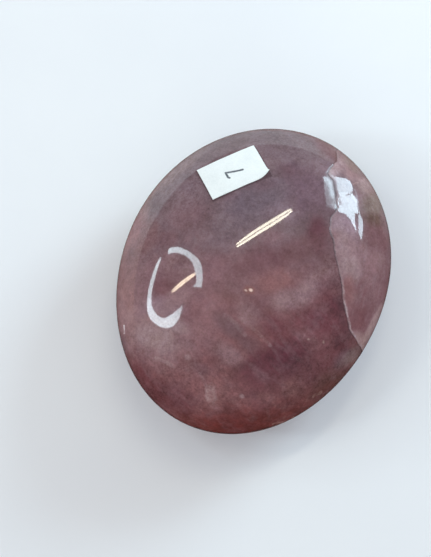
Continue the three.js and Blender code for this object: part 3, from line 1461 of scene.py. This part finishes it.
    flap_patches: tuple[Patch, ...] = (
        Patch((5.6, 26.6), (1.2, 3.4), -8.0, Tone.MILK, 0.85),
        Patch((10.6, 25.6), (1.6, 1.4), -35.0, Tone.SMOKE, 0.6),
        # The next two patches are a painted reflection: the pale beige-grey wedge at the top of the flap
        Patch((9.4, 28.0), (2.0, 1.4), -35.0, Tone.CLOUD, 0.6),
        Patch((8.6, 30.2), (2.6, 1.2), -30.0, Tone.ASH, 0.7),
        Patch((14.4, 26.4), (3.0, 2.0), -35.0, Tone.SAND, 0.25),
        Patch((13.2, 26.8), (2.2, 1.8), -35.0, Tone.ASH, 0.5),
        Patch((13.0, 27.0), (2.0, 1.4), -35.0, Tone.MILK, 0.4),
        Patch((13.4, 22.8), (1.6, 1.4), -35.0, Tone.LILAC, 0.5),
        Patch((16.2, 24.0), (2.2, 3.2), -35.0, Tone.ASH, 0.9),
        Patch((17.6, 20.6), (2.1, 1.9), 60.0, Tone.MOSS, 0.95),
        Patch((19.6, 17.2), (3.4, 3.2), 0.0, Tone.RUSSET, 0.8),
        Patch((13.0, 15.8), (3.2, 2.6), 30.0, Tone.LILAC, 0.9),
        Patch((12.0, 12.2), (1.6, 2.0), 30.0, Tone.ROSE, 0.6),
        Patch((15.6, 10.6), (3.2, 4.6), 20.0, Tone.CLOUD, 0.75),
        Patch((14.6, 11.4), (5.0, 1.4), 121.5, Tone.MILK, 0.3),
        Patch((18.0, 9.0), (2.4, 2.2), 20.0, Tone.MILK, 0.5),
        Patch((20.6, 10.6), (2.2, 3.8), 10.0, Tone.ROSE, 0.5),
        Patch((25.2, 11.0), (1.8, 5.0), 5.0, Tone.RUSSET, 0.4),
        Patch((18.8, 4.4), (1.6, 3.0), 20.0, Tone.CLAY, 0.7),
        Patch((21.2, 6.2), (1.8, 1.8), 20.0, Tone.WINE, 0.4),
        Patch((18.4, 3.2), (1.8, 2.4), 20.0, Tone.PLUM, 0.2),
        Patch((24.0, 3.2), (2.0, 2.6), 10.0, Tone.PLUM, 0.18),
        Patch((23.2, 0.2), (2.4, 3.6), 10.0, Tone.WINE, 0.65),
        Patch((25.0, -3.4), (1.7, 1.5), 66.0, Tone.SAND, 0.8),
        # A painted reflection: the pale band along the flap's outer rim
        Patch((27.2, 1.5), (1.6, 6.0), -4.0, Tone.SAND, 0.9, 0.2, 0.3, 3.5),
    )
    veins_and_glints: tuple[Vein, ...] = (
        Vein(((10.6, 25.8), (11.6, 26.9), (12.2, 28.3)), 0.5, 0.4),
        Vein(((2.0, -10.8), (5.6, -11.6), (9.7, -12.9)), 0.7, 0.2),
        Vein(((-1.0, -11.5), (1.6, -12.2), (4.3, -13.4)), 0.9, 0.2),
        Vein(((-10.1, -24.9), (-7.8, -24.8), (-5.9, -25.0)), 0.7, 0.3),
        Vein(((-0.5, -24.1), (0.8, -24.9), (1.6, -25.7)), 0.6, 0.2),
        Vein(((1.7, -25.8), (3.0, -28.0)), 0.6, 0.3),
        Vein(((2.6, -25.7), (3.7, -27.3)), 1.9, 0.35),
        # A painted highlight: a short pale streak near the lower right rim
        Vein(((21.9, -17.4), (22.5, -16.7), (23.1, -15.9)), 0.6, 0.45, screen(180, 140, 130)),
        Vein(((17.1, -26.1), (18.8, -24.7), (20.5, -22.6)), 0.3, 0.6, screen(200, 160, 150)),
        # A painted glint: a short white line on the left rim
        Vein(((-19.3, -21.4), (-18.9, -22.1), (-18.6, -22.8)), 0.25, 0.9, screen(240, 228, 228)),
    )
    scuffs: tuple[Vein, ...] = (
        Vein(((10.1, 22.5), (10.5, 22.2), (10.6, 23.0), (11.0, 22.8), (11.1, 23.6)), 0.3, 0.6),
        Vein(((11.4, 24.6), (12.1, 23.9), (12.5, 23.1), (13.1, 22.5)), 0.3, 0.4),
        Vein(((13.0, 22.2), (13.3, 21.6), (13.9, 20.8)), 0.25, 0.4),
        Vein(((8.3, 22.1), (9.2, 21.2), (9.9, 20.3), (10.2, 19.9)), 0.6, 0.3),
    )

    def material(self, effects: SharedEffects) -> bpy.types.Material:
        """Builds the material.

        Args:
            effects: the shared shader groups.

        Returns:
            The material, for a mesh that carries its distance from the crack.
        """
        board, material, shader = Board.material("mauve_quartz")
        ground = Ground.read(board, effects, self.form, self.crack)
        colour = board.blend(ground.distance.rise(*self.joint_step), self._body(ground), self._flap(ground))
        colour = layered(self._crack_lines(ground, colour), self.veins_and_glints, ground)
        colour = self._grained(ground, colour)
        inputs = {
            # Painted contact shadow: the base colour darkens in a thin line round the label's edge
            "Base Color": board.blend(self._painted_label_shadow(ground) * self.label_shadow, colour, self.crack_and_shadow_dark),
            "Roughness": self._roughness(ground),
            "Normal": self._bumps(ground),
            "IOR": self.refraction,
            "Coat Weight": self.coat,
            "Coat Roughness": self.coat_dullness,
            "Coat IOR": self.coat_refraction,
            "Subsurface Weight": self.scatter,
            "Subsurface Radius": self.scatter_reach,
            "Subsurface Scale": self.scatter_depth,
        }
        board.set(shader, inputs)
        return material

    def _body(self, ground: Ground) -> Field:
        """Colours the stone's main part.

        Args:
            ground: the places on the stone.

        Returns:
            The colour.
        """
        board = ground.board
        upward = ground.upward + ground.edge * self.step_wander
        colour = board.blend(upward.rise(*self.wine_step), self.deep_wine, self.wine)
        colour = board.blend(upward.rise(*self.mauve_step), colour, self.mauve)
        colour = board.blend(upward.rise(*self.violet_step), colour, self.violet)
        colour = layered(colour, self.body_patches + self.body_mottling, ground)
        beside = ground.distance.bell(*self.shaded_line) * ground.along.rise(*self.shaded_step)
        return board.blend(beside * self.shaded, colour, self.crack_and_shadow_dark)

    def _flap(self, ground: Ground) -> Field:
        """The colour of the part to the right of the crack."""
        colour = ground.board.blend(ground.along.rise(*self.flap_step), self.flap_far, self.flap_near)
        return layered(colour, self.flap_patches + self.flap_mottling, ground)

    def _crack_lines(self, ground: Ground, colour: Field) -> Field:
        """Draws the crack itself: a dark line with a pale one to the right of it.

        Args:
            ground: the places on the stone.
            colour: the colour below.

        Returns:
            The colour with the crack.
        """
        board = ground.board
        whole = 0.3 + 0.7 * board.noise(ground.place, 1.2, seed=31.0).rise(0.35, 0.6)
        dark = ground.distance.bell(*self.dark_line) * whole * self.dark
        colour = board.blend(dark, colour, self.crack_and_shadow_dark)
        crisp = 0.2 + 0.7 * ground.along.rise(*self.crisp_step)
        pale = ground.distance.bell(*self.pale_line) * crisp * whole
        return board.blend(pale, colour, self.crack_light)

    def _grained(self, ground: Ground, colour: Field) -> Field:
        """Makes a colour lighter, darker, warmer and cooler from clouds down to single grains.

        Args:
            ground: the places on the stone.
            colour: the colour below.

        Returns:
            The uneven colour.
        """
        board, place, upward, sideward = ground.board, ground.place, ground.upward, ground.sideward
        right = sideward.rise(*self.right_step) * ground.distance.fall(-0.2, 0.2) * self.right_swing
        red_end = self.red_end_swing - upward.rise(*self.red_end_step) * self.red_end_swing
        violet_end = upward.rise(*self.violet_end_step) * self.violet_end_swing
        left = sideward.fall(*self.left_step) * self.left_swing
        cloudy = board.waver(place, 9.0, detail=5.0, seed=61.0, fineness=0.95) * self.tone_swing
        grainy = board.waver(place, 0.4, seed=63.0) * self.grain_swing
        tone = (cloudy + grainy) * (right.at_least(red_end) + 1.0 + violet_end + left)
        hue = board.waver(place, 9.0, detail=5.0, seed=67.0, fineness=0.82) * self.hue_swing
        gain = board.vector(1.0 + tone * 0.8, 1.0 + tone, 1.0 + tone - hue)
        return board.vectors(Vectors.MULTIPLY, colour, gain)

    def _painted_label_shadow(self, ground: Ground) -> Field:
        """A painted contact shadow: a thin dark line on the stone round the label's edge.

        Args:
            ground: the places on the stone.

        Returns:
            The painted shadow, from 0 to 1.
        """
        board, label = ground.board, self.label
        middle, long_way, wide_way, _ = label.plane()
        away = board.vectors(Vectors.SUBTRACT, ground.place, tuple(middle / MM))
        past_end, past_side = (
            board.vectors(Vectors.DOT, away, tuple(way)).without_sign() - size / MM / 2
            for way, size in ((long_way, label.length), (wide_way, label.width))
        )
        return past_end.at_least(past_side).fall(*self.label_shadow_step) * ground.upper

    def _roughness(self, ground: Ground) -> Field:
        """How dull the polish is.

        Args:
            ground: the places on the stone.

        Returns:
            The roughness.
        """
        board, place, along = ground.board, ground.place, ground.along
        cloudy = ground.effects.clouds(board, place, size=9.0, warp=6.0, low=0.45, high=0.75, seed=41.0)
        flat_spot = board.parts(place)[2].fall(*self.ground_flat_step)
        narrowing = 1.0 - along.rise(*self.narrow_step) * 0.7
        edge = (ground.distance / narrowing).bell(*self.chipped_line) * along.rise(*self.chipped_step)
        dull = self.polish + cloudy * self.rubbed + self.strip.mask(ground) * self.scratched
        for scuff in self.scuffs:
            dull = dull + scuff.mask(ground)
        return dull + edge * self.chipped + flat_spot * self.ground_flat

    def _bumps(self, ground: Ground) -> Field:
        """The finest relief: pits, grains and the crack's lips.

        Args:
            ground: the places on the stone.

        Returns:
            The way the surface faces.
        """
        board, place = ground.board, ground.place
        scattered = {"Place": place, "Spacing": 3.4, "Size": 0.16, "Seed": 5.0}
        pits = board.use(ground.effects.flecks, scattered) * self.pit_depth
        lips = ground.distance.bell(*self.lip_line) * self.lip_depth
        skin = board.noise(place, 1.4, seed=52.0) * self.skin_height
        return board.bump(skin - lips - pits)


@dataclass(frozen=True)
class PaperFinish:
    """White label paper with a plain figure 7 drawn on it in pen. Places are in millimetres."""

    paper: Colour = screen(240, 242, 240)
    shade: Colour = screen(218, 221, 220)
    ink: Colour = screen(36, 44, 60)
    pen_width: float = 0.42
    strokes: tuple[Pair, ...] = ((-1.35, -1.15), (-1.6, -0.9), (-1.62, 0.45), (0.1, -0.15), (1.9, -0.55))

    def material(self, effects: SharedEffects) -> bpy.types.Material:
        """Builds the material.

        Args:
            effects: the shared shader groups.

        Returns:
            The material, for a mesh that carries its place on the flat sheet.
        """
        board, material, shader = Board.material("label_paper")
        place = board.note(SHEET_PLACE, "Vector")
        fibre = effects.clouds(board, place, size=0.3, warp=0.4, low=0.35, high=0.75, seed=3.0)
        tone = effects.clouds(board, place, size=3.0, warp=1.0, low=0.4, high=0.7, seed=8.0)
        colour = board.blend(fibre * 0.3 + tone * 0.25, self.paper, self.shade)
        pen = effects.line(board, place, self.strokes, self.pen_width)
        uneven = 0.8 + 0.2 * board.noise(place, 0.5, detail=1.0, seed=6.0)
        relief = fibre * 0.006 + board.noise(place, 0.09, detail=1.0, seed=9.0) * 0.003
        inputs = {
            "Base Color": board.blend(pen * uneven, colour, self.ink),
            "Roughness": 0.78 + fibre * 0.1,
            "Normal": board.bump(relief),
            "IOR": 1.45,
        }
        board.set(shader, inputs)
        return material


@dataclass(frozen=True)
class FloorFinish:
    """A plain pale studio floor."""

    pale: Colour = screen(244, 244, 245)
    shade: Colour = screen(240, 240, 242)

    def material(self, effects: SharedEffects) -> bpy.types.Material:
        """Builds the material.

        Args:
            effects: the shared shader groups.

        Returns:
            The material.
        """
        board, material, shader = Board.material("pale_floor")
        soft = effects.clouds(board, board.place(), size=60.0, warp=20.0, low=0.3, high=0.7, seed=1.0)
        colour = board.blend(soft, self.pale, self.shade)
        board.set(shader, {"Base Color": colour, "Roughness": 0.9, "IOR": 1.3})
        return material


# Studio


@dataclass(frozen=True)
class Sheet:
    """One flat glowing piece of a lamp."""

    corners: list[Vector]
    glow: float = 1.0


@dataclass(frozen=True)
class Lamp:
    """Glowing sheets in a plane that faces the stone, seen by the stone and the floor but not by the camera.

    A place in that plane is given by how far it lies aside and above the middle, in millimetres.
    """

    name: str
    azimuth: float
    elevation: float
    tint: Colour
    strength: float
    distance: float = 450.0
    unevenness: float = 0.0
    grain: float = 20.0

    def place(self, spot: Union[Pair, Vector]) -> Vector:
        """Where a place in the lamp's plane lies in the room.

        Args:
            spot: how far it lies aside and above the plane's middle, in millimetres.

        Returns:
            The place in metres.
        """
        back = bearing(self.azimuth, self.elevation)
        side = UP.cross(back).normalized()
        return (back * self.distance + side * spot[0] + back.cross(side) * spot[1]) * MM

    def sheets(self) -> list[Sheet]:
        """The pieces of the lamp."""
        raise NotImplementedError

    def hang(self) -> bpy.types.Object:
        """Makes the lamp, shining towards the stone.

        Returns:
            The lamp.
        """
        points: list[Vector] = []
        faces: list[list[int]] = []
        glows: list[float] = []
        for sheet in self.sheets():
            corners = sheet.corners
            middle = sum(corners, Vector()) / len(corners)
            area = sum((a.cross(b) for a, b in zip(corners, corners[1:] + corners[:1])), Vector())
            faces.append(list(range(len(points), len(points) + len(corners))))
            points.extend(corners if area.dot(middle) < 0 else corners[::-1])
            glows.append(sheet.glow)
        lamp = mesh_object(self.name, points, faces, self._light())
        note = lamp.data.attributes.new(LAMP_GLOW, "FLOAT", "FACE")
        note.data.foreach_set("value", glows)
        lamp.visible_camera = False
        return lamp

    def _light(self) -> bpy.types.Material:
        """The light that the lamp gives from its front.

        Returns:
            The material.
        """
        material = bpy.data.materials.new(self.name)
        board = Board.emptied(material)
        behind = board.field("ShaderNodeNewGeometry", output="Backfacing")
        waver = board.waver(board.place(), self.grain, detail=4.0, fineness=0.9)
        uneven = 1.0 + waver * self.unevenness
        strength = (1.0 - behind) * board.note(LAMP_GLOW) * uneven * self.strength
        light = board.field("ShaderNodeEmission", {"Color": self.tint, "Strength": strength})
        board.add("ShaderNodeOutputMaterial", {"Surface": light})
        return material


@dataclass(frozen=True)
class TwinTube(Lamp):
    """A lamp of two thin tubes side by side, slightly bowed, thinner at its ends and dim at its far end."""

    start: Pair = (0.0, 0.0)
    end: Pair = (100.0, 0.0)
    width: float = 17.0
    gap: float = 1.5
    bow: float = 0.0
    thin_end: float = 0.6
    dim_from: float = 1.0
    dimming: float = 0.85
    lengths: int = 12

    def sheets(self) -> list[Sheet]:
        """Cuts each tube into short lengths.

        Returns:
            The lengths.
        """
        start, end = Vector(self.start), Vector(self.end)
        aside = (end - start).orthogonal().normalized()
        made = []
        for side in (-1, 1):
            edges = []
            for index in range(self.lengths + 1):
                share = index / self.lengths
                fullness = self.thin_end + (1 - self.thin_end) * math.sin(math.pi * share) ** 0.5
                middle = start.lerp(end, share) + aside * (self.bow * 4 * share * (1 - share))
                near = middle + aside * (side * self.gap / 2)
                far = middle + aside * (side * self.width / 2 * fullness)
                edges.append((self.place(near), self.place(far), share))
            for (a, b, share), (c, d, _) in zip(edges, edges[1:]):
                past = max(0.0, share - self.dim_from) / max(1.0 - self.dim_from, 0.01)
                made.append(Sheet([a, b, d, c], 1.0 - self.dimming * past))
        return made


@dataclass(frozen=True)
class RingLamp(Lamp):
    """A ring of uneven width, lit over two arcs.

    Each arc is a row of stations: the angle in degrees, how far the ring's inner and outer edges lie from
    the hub there, and how brightly it glows.
    """

    hub: Pair = (18.0, 16.0)
    arcs: tuple[tuple[tuple[float, float, float, float], ...], ...] = ()
    steps: int = 4

    def sheets(self) -> list[Sheet]:
        """Cuts each arc into short stretches.

        Returns:
            The stretches.
        """
        hub = Vector(self.hub)
        made = []
        for arc in self.arcs:
            stations = smooth_row(arc, self.steps)
            edges = []
            for degrees, inner, outer, _ in stations:
                way = Vector((math.cos(math.radians(degrees)), math.sin(math.radians(degrees))))
                edges.append([self.place(hub + way * reach) for reach in (inner, outer)])
            for (a, b), (c, d), (*_, glow) in zip(edges, edges[1:], stations):
                made.append(Sheet([a, b, d, c], glow))
        return made


@dataclass(frozen=True)
class Pane:
    """One pane of a lamp: its corners in the lamp's plane and how brightly it glows."""

    corners: tuple[Pair, ...]
    glow: float = 1.0


@dataclass(frozen=True)
class PaneLamp(Lamp):
    """A tall soft lamp of several panes."""

    panes: tuple[Pane, ...] = ()

    def sheets(self) -> list[Sheet]:
        """The outline of each pane."""
        return [Sheet([self.place(corner) for corner in pane.corners], pane.glow) for pane in self.panes]


def smooth_row(rows: Sequence[Sequence[float]], steps: int) -> list[tuple[float, ...]]:
    """Draws a smooth curve through rows of numbers.

    Args:
        rows: the rows that it passes through.
        steps: how many steps it takes from one row to the next.

    Returns:
        The rows along the curve.
    """
    padded = [rows[0], *rows, rows[-1]]
    made = []
    for a, b, c, d in zip(padded, padded[1:], padded[2:], padded[3:]):
        for index in range(steps):
            t = index / steps
            weights = (
                (-t + 2 * t**2 - t**3) / 2,
                (2 - 5 * t**2 + 3 * t**3) / 2,
                (t + 4 * t**2 - 3 * t**3) / 2,
                (t**3 - t**2) / 2,
            )
            made.append(tuple(sum(w * v for w, v in zip(weights, values)) for values in zip(a, b, c, d)))
    made.append(tuple(rows[-1]))
    return made


@dataclass(frozen=True)
class Viewpoint:
    """Where the camera stands: high over the stone and a little to its right."""

    azimuth: float = 26.0
    elevation: float = 80.0
    distance: float = 320.0 * MM
    aside: float = -7.88 * MM
    above: float = -0.08 * MM
    lens: float = 98.24
    sensor: float = 36.0
    nearest: float = 10 * MM

    def build(self, height: float) -> bpy.types.Object:
        """Makes the scene's camera.

        Args:
            height: the height of what it looks at.

        Returns:
            The camera.
        """
        back = bearing(self.azimuth, self.elevation)
        right = UP.cross(back).normalized()
        target = UP * height + right * self.aside + back.cross(right) * self.above
        data = bpy.data.cameras.new("camera")
        data.lens = self.lens
        data.sensor_width = self.sensor
        data.clip_start = self.nearest
        camera = put_in_scene("camera", data)
        camera.location = target + back * self.distance
        camera.rotation_mode = "QUATERNION"
        camera.rotation_quaternion = (-back).to_track_quat("-Z", "Y")
        bpy.context.scene.camera = camera
        return camera


@dataclass(frozen=True)
class Studio:
    """The floor, the lamps and the soft light all round.

    A ledge is where a change starts and ends, in degrees above the floor. So is a step, but in the height
    of a direction or in how far it points to the bright side, both from -1 to 1.
    """

    floor_reach: float = 6.0
    horizon: Colour = (0.42, 0.44, 0.47, 1.0)
    overhead: Colour = (0.5, 0.5, 0.53, 1.0)
    bright_side: Colour = (1.17, 1.3, 1.37, 1.0)
    warm_side: Colour = (1.1, 0.82, 0.72, 1.0)
    dim_side: Colour = (0.3, 0.2, 0.18, 1.0)
    fall_off: float = 0.75
    backdrop: Colour = (0.86, 0.87, 0.88, 1.0)
    bright_azimuth: float = -135.0
    overhead_step: Pair = (0.0, 0.9)
    warm_step: Pair = (-0.1, 0.5)
    bright_step: Pair = (0.45, 0.85)
    crisp_ledge: Pair = (5.5, 7.0)
    soft_ledge: Pair = (-25.0, 35.0)
    lamps: tuple[Lamp, ...] = (
        RingLamp(
            name="ring_lamp",
            azimuth=-77.5,
            elevation=46.0,
            tint=(0.82, 0.99, 1.06, 1.0),
            strength=10.2,
            unevenness=1.0,
            grain=12.0,
            arcs=(
                (
                    (97.0, 131.0, 176.0, 0.85), (101.0, 145.0, 177.0, 0.8), (107.0, 146.0, 177.0, 0.8),
                    (115.0, 139.0, 172.0, 0.8), (125.0, 132.0, 159.0, 0.8), (139.0, 118.0, 136.0, 0.85),
                    (163.0, 101.0, 117.0, 0.95), (188.0, 98.0, 115.0, 1.0), (201.0, 99.0, 118.0, 1.1),
                    (209.0, 104.0, 121.0, 1.15),
                ),
                (
                    (230.0, 114.0, 128.0, 1.0), (244.0, 108.0, 131.0, 1.0), (257.0, 105.0, 135.0, 0.95),
                    (272.0, 112.0, 145.0, 0.9), (286.0, 119.0, 160.0, 1.0), (300.0, 127.0, 176.0, 1.1),
                    (311.0, 121.0, 171.0, 1.1), (326.0, 111.0, 151.0, 1.1), (350.0, 99.0, 135.0, 1.1),
                    (376.0, 87.0, 128.0, 1.1), (396.0, 86.0, 121.0, 1.0), (408.0, 90.0, 115.0, 0.85),
                    (424.0, 99.0, 104.0, 0.5),
                ),
            ),
        ),
        TwinTube(
            name="tube_lamp",
            azimuth=-150.0,
            elevation=66.0,
            tint=(1.0, 0.95, 0.77, 1.0),
            strength=20.0,
            start=(36.0, 55.0),
            end=(-129.0, -39.5),
            width=19.5,
            gap=2.8,
            bow=-5.0,
        ),
        TwinTube(
            name="short_tube_lamp",
            azimuth=-77.5,
            elevation=46.0,
            tint=(1.0, 0.84, 0.64, 1.0),
            strength=28.0,
            start=(-35.0, 147.0),
            end=(30.0, 38.0),
            width=11.0,
            gap=3.0,
            dim_from=0.8,
        ),
        PaneLamp(
            name="window_lamp",
            azimuth=155.0,
            elevation=25.0,
            tint=(0.75, 0.97, 1.09, 1.0),
            strength=11.5,
            unevenness=0.9,
            grain=50.0,
            panes=(
                Pane((
                    (124.0, 38.0), (99.0, -23.0), (77.0, -77.0), (59.0, -123.0), (44.0, -140.0),
                    (17.0, -111.0), (5.0, -68.0), (40.0, 32.0), (56.0, 102.0), (74.0, 81.0),
                    (91.0, 62.0), (108.0, 52.0),
                ), 0.95),
                Pane((
                    (5.0, -68.0), (-27.0, -80.0), (-54.0, -50.0), (-69.0, -24.0), (-57.0, 0.0),
                    (-85.0, 27.0), (-120.0, 43.0), (-72.0, 52.0), (-37.0, 70.0), (-11.0, 104.0),
                    (22.0, 110.0), (56.0, 102.0), (40.0, 32.0),
                ), 1.15),
                Pane((
                    (-62.0, -52.0), (-77.0, -43.0), (-103.0, -49.0), (-126.0, -30.0), (-162.0, 16.0),
                    (-125.0, 25.0), (-80.0, -16.0),
                ), 0.85),
            ),
        ),
    )

    def build(self, effects: SharedEffects) -> None:
        """Makes the floor and hangs the lamps.

        Args:
            effects: the shared shader groups.
        """
        reach = self.floor_reach
        corners = [(-reach, -reach, 0.0), (reach, -reach, 0.0), (reach, reach, 0.0), (-reach, reach, 0.0)]
        floor = mesh_object("floor", corners, [(0, 1, 2, 3)], FloorFinish().material(effects))
        floor.visible_glossy = False
        for lamp in self.lamps:
            lamp.hang()
            log.info("%s hung", lamp.name)
        self._soft_light()

    def _soft_light(self) -> None:
        """Lights the scene from all round.

        The polish mirrors a bright ledge low on one side and dim surroundings low on the other, and the
        camera sees a plain backdrop.
        """
        world = bpy.data.worlds.new("soft_light")
        bpy.context.scene.world = world
        board = Board.emptied(world)
        way = board.field("ShaderNodeTexCoord", output="Generated")
        height = board.parts(way)[2]
        sky = board.blend(height.rise(*self.overhead_step), self.horizon, self.overhead)
        towards = board.vectors(Vectors.DOT, way, tuple(bearing(self.bright_azimuth, 0.0)))
        brightness = towards.rise(*self.warm_step)
        fading = (height + 1.0).at_least(0.0) ** self.fall_off
        side = board.blend(brightness, self.dim_side, self.warm_side)
        side = board.blend(towards.rise(*self.bright_step), side, self.bright_side)
        low = board.vectors(Vectors.SCALE, side, fading)
        crisp, soft = (
            height.rise(*(math.sin(math.radians(angle)) for angle in ledge))
            for ledge in (self.crisp_ledge, self.soft_ledge)
        )
        raised = soft + (crisp - soft) * brightness
        straight = board.field("ShaderNodeLightPath", output="Is Camera Ray")
        seen = board.blend(straight, board.blend(raised, low, sky), self.backdrop)
        glow = board.field("ShaderNodeBackground", {"Color": seen})
        board.add("ShaderNodeOutputWorld", {"Surface": glow})


def main() -> None:
    """Builds the stone, its label and the studio, in that order."""
    logging.basicConfig(level=logging.INFO, format="%(name)s: %(message)s")
    view = bpy.context.scene.view_settings
    view.view_transform = "Standard"
    effects = SharedEffects.build()
    form = StoneForm.from_frame("stone")
    crack = Crack()
    Viewpoint().build(form.girdle_height)
    label = Label(form)
    stone = Stone(form, crack).build(QuartzFinish(form, crack, label).material(effects))
    log.info("%s has %d faces", stone.name, len(stone.data.polygons))
    sheet = label.build(PaperFinish().material(effects))
    log.info("%s has %d faces", sheet.name, len(sheet.data.polygons))
    Studio().build(effects)


if __name__ == "__main__":
    main()
